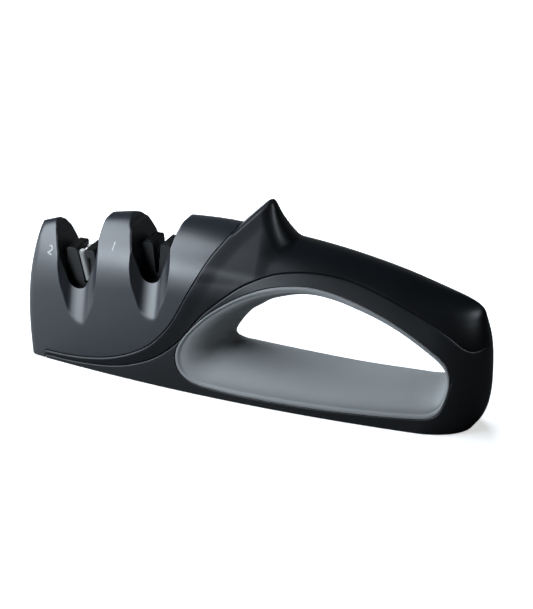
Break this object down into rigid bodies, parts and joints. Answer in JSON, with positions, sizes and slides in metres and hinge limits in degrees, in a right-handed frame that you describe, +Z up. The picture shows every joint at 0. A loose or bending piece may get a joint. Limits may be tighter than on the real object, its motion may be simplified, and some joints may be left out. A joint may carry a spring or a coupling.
{
  "type": "knife sharpener",
  "caption": "Hand-held pull-through knife sharpener: a head with a fine and a coarse cross slot, a horn guard and a handle with a lined finger loop.",
  "frame": {"origin": "centre of the bounding box on the table, under the pads", "axes": "+X from the head to the rear of the handle, +Y across the tool along the knife's stroke, +Z up"},
  "size_m": [0.1948, 0.035, 0.0807],
  "materials": {
    "head": "satin, dark grey",
    "shell": "satin, black",
    "base": "fine-grained, black",
    "rubber": "matt, grey",
    "cartridge": "moulded, black",
    "ceramic": "sintered, off-white",
    "carbide": "ground, dark",
    "screw": "plated"
  },
  "bodies": {
    "root": {"head_housing": "head", "handle_top_shell": "shell", "lower_body": "base", "grip_liner": "rubber", "fine_cartridge": "cartridge", "coarse_cartridge": "cartridge", "fine_rod_left": "ceramic", "fine_rod_right": "ceramic", "coarse_plate_left": "carbide", "coarse_plate_right": "carbide", "fine_cartridge_screw_near": "screw", "fine_cartridge_screw_far": "screw", "coarse_cartridge_screw_near": "screw", "coarse_cartridge_screw_far": "screw", "head_screw_near": "screw", "head_screw_far": "screw", "shell_screw_front": "screw", "shell_screw_rear": "screw", "base_pad_front": "rubber", "base_pad_rear": "rubber"}
  },
  "joints": []
}
